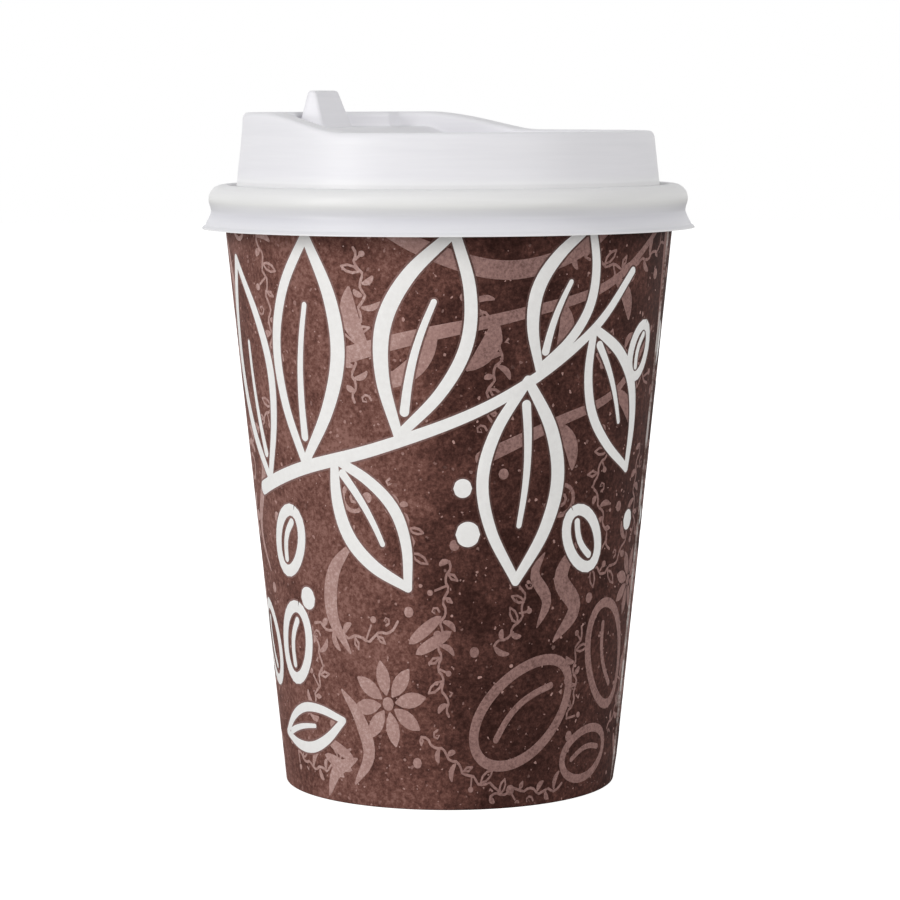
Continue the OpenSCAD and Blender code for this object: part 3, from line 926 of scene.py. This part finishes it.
bm = bmesh.new()
row = bm.verts.layers.int.new("row")
chain = []
for i, (kind, value) in enumerate(rows):
    r, z = lid_point(kind, value, math.pi / 2)
    vert = bm.verts.new((r * MM, 0, z * MM))
    vert[row] = i
    chain.append(vert)
line = [bm.edges.new(pair) for pair in zip(chain, chain[1:])]
bmesh.ops.spin(bm, geom=chain + line, cent=(0, 0, 0), axis=(0, 0, 1), dvec=(0, 0, 0),
               angle=math.tau, steps=LID_STEPS, use_merge=True, use_duplicate=False)
for vert in bm.verts:
    kind, value = rows[vert[row]]
    azimuth = math.atan2(vert.co.y, vert.co.x)
    r, z = lid_point(kind, value, azimuth - math.radians(LID_AZ))
    vert.co = Vector((r * math.cos(azimuth), r * math.sin(azimuth), z)) * MM
bmesh.ops.remove_doubles(bm, verts=bm.verts, dist=1e-7)
bmesh.ops.recalc_face_normals(bm, faces=bm.faces)
if sum(f.normal.z * f.calc_area() for f in bm.faces) < 0:
    bmesh.ops.reverse_faces(bm, faces=bm.faces)
bmesh.ops.solidify(bm, geom=bm.faces[:], thickness=LID_T * MM)

lid_white, shader, nodes, links, spot = fresh("lid_white", 0.42, 0.35)
# painted light and shade by height on the lid, over the plastic's own pale bluish white:
height = nodes.new("ShaderNodeSeparateXYZ")
links.new(spot, height.inputs[0])
span = nodes.new("ShaderNodeMapRange")
span.inputs["From Min"].default_value = SKIRT_Z * MM
span.inputs["From Max"].default_value = (SKIRT_Z + 12) * MM
links.new(height.outputs["Z"], span.inputs["Value"])
# a painted highlight on the lip edge, painted shade on the skirt, deepest at the waist under the
# bead, and a lighter band at the wall's foot
thin = shades(nodes, links, span.outputs["Result"], [
    (0.02, (0.88, 0.88, 0.88)), (0.05, (0.77, 0.77, 0.80)), (0.16, (0.75, 0.75, 0.79)),
    (0.26, (0.66, 0.66, 0.70)), (0.36, (0.73, 0.73, 0.75)), (0.46, (0.81, 0.81, 0.80)),
    (0.75, (0.82, 0.82, 0.83)), (0.78, (0.87, 0.87, 0.885)), (0.90, (0.826, 0.822, 0.853))])
flow = cloud(nodes, links, spot, 45, 3.0, 0.6, stretch=(1, 1, 22))
streak = shades(nodes, links, flow, [(0.25, (0.955, 0.955, 0.96)), (0.75, (1.0, 1.0, 1.0))])
plastic = nodes.new("ShaderNodeMix")
plastic.data_type = "RGBA"
plastic.blend_type = "MULTIPLY"
plastic.inputs[0].default_value = 1.0
links.new(thin, plastic.inputs[6])
links.new(streak, plastic.inputs[7])
links.new(plastic.outputs[2], shader.inputs["Base Color"])
relief(nodes, links, shader, flow, 0.03, 0.25)
lid = put("travel_lid", bm, [lid_white], "lid", stands_for=("lid",))

# Closure flap.
# A flat plate cut free of the deck on three sides, with a tall wedge to pull it up by,
# moulded with the lid and bending at the line towards the middle.
HINGE_S, FLAP_HALF, FLAP_R, FLAP_GAP = DECK_FROM + DECK_RUN + 0.6, 6.6, SHOULDER_IN - 0.35, 0.12
FIN_OUT = FLAP_R - 0.75
FIN_IN, FIN_TOP_OUT = FIN_OUT - 5.75, FIN_OUT - 1.5
FIN_TOP_IN, FIN_HALF, FIN_TOP_HALF, FIN_H = FIN_TOP_OUT - 1.75, 5.55, 4.35, 7.1
FIN_ROUND = 0.55
HINGE_PLAY = 0.04


def flap_outline(grow):
    """The flap seen from above, as points towards the drinking side and across it."""
    half, far_r, near = FLAP_HALF + grow, FLAP_R + grow, HINGE_S - grow
    side = math.degrees(math.asin(half / far_r))
    return [(near, -half)] + arc((0, 0), far_r, -side, side, 16) + [(near, half)]


# The opening in the lid's deck
CUT_DEPTH, CUT_HEIGHT = 1.5, 3
bm = bmesh.new()
corners = [bm.verts.new((s * MM, t * MM, (DECK_Z - CUT_DEPTH) * MM))
           for s, t in flap_outline(FLAP_GAP)]
face = bm.faces.new(corners)
pull = bmesh.ops.extrude_face_region(bm, geom=[face])["geom"]
bmesh.ops.translate(bm, verts=[v for v in pull if isinstance(v, bmesh.types.BMVert)],
                    vec=(0, 0, CUT_HEIGHT * MM))
bmesh.ops.recalc_face_normals(bm, faces=bm.faces)
bmesh.ops.rotate(bm, verts=bm.verts, cent=(0, 0, 0),
                 matrix=Matrix.Rotation(math.radians(LID_AZ), 3, "Z"))
cutter_mesh = bpy.data.meshes.new("flap_cut")
bm.to_mesh(cutter_mesh)
bm.free()
cutter = bpy.data.objects.new("flap_cut", cutter_mesh)
bpy.context.scene.collection.objects.link(cutter)
cut = lid.modifiers.new("flap_cut", "BOOLEAN")
cut.operation = "DIFFERENCE"
cut.object = cutter
cut.solver = "MANIFOLD"
depsgraph = bpy.context.evaluated_depsgraph_get()
cut_mesh = bpy.data.meshes.new_from_object(lid.evaluated_get(depsgraph))
lid.modifiers.remove(cut)
old_mesh = lid.data
lid.data = cut_mesh
bpy.data.meshes.remove(old_mesh)
bpy.data.objects.remove(cutter)
bpy.data.meshes.remove(cutter_mesh)
cut_mesh.name = "travel_lid"

# The plate with its hollow fin
s_lines = [HINGE_S + HINGE_PLAY, FIN_IN, FIN_OUT, FLAP_R]
t_lines = [-FLAP_HALF] + [-FIN_HALF + 2 * FIN_HALF * i / 6 for i in range(7)] + [FLAP_HALF]
bm = bmesh.new()
bmesh.ops.create_grid(bm, x_segments=len(s_lines) - 1, y_segments=len(t_lines) - 1, size=1.0)
for vert in bm.verts:
    s = s_lines[round((vert.co.x + 1) / 2 * (len(s_lines) - 1))]
    t = t_lines[round((vert.co.y + 1) / 2 * (len(t_lines) - 1))]
    if s == FLAP_R:
        s = math.sqrt(FLAP_R ** 2 - t ** 2)
    vert.co = Vector((s, t, DECK_Z)) * MM
foot = [f for f in bm.faces
        if FIN_IN < f.calc_center_median().x / MM < FIN_OUT
        and abs(f.calc_center_median().y / MM) < FIN_HALF]
pull = bmesh.ops.extrude_face_region(bm, geom=foot)["geom"]
bmesh.ops.delete(bm, geom=foot, context="FACES_ONLY")
for vert in (v for v in pull if isinstance(v, bmesh.types.BMVert)):
    far_side = vert.co.x / MM > (FIN_IN + FIN_OUT) / 2
    vert.co = Vector((FIN_TOP_OUT if far_side else FIN_TOP_IN,
                      vert.co.y / MM * FIN_TOP_HALF / FIN_HALF, DECK_Z + FIN_H)) * MM
bmesh.ops.remove_doubles(bm, verts=bm.verts, dist=1e-7)
bmesh.ops.recalc_face_normals(bm, faces=bm.faces)
if sum(f.normal.z * f.calc_area() for f in bm.faces) < 0:
    bmesh.ops.reverse_faces(bm, faces=bm.faces)
corners = [e for e in bm.edges if max(v.co.z for v in e.verts) > (DECK_Z + 1) * MM
           and e.calc_face_angle(0.0) > math.radians(40)]
bmesh.ops.bevel(bm, geom=corners, offset=FIN_ROUND * MM, segments=3, profile=0.5,
                affect="EDGES", material=-1, clamp_overlap=True)
bmesh.ops.solidify(bm, geom=bm.faces[:], thickness=LID_T * MM)
bmesh.ops.rotate(bm, verts=bm.verts, cent=(0, 0, 0),
                 matrix=Matrix.Rotation(math.radians(LID_AZ), 3, "Z"))
put("closure_flap", bm, [lid_white], "flap", stands_for=("lid_flap",))
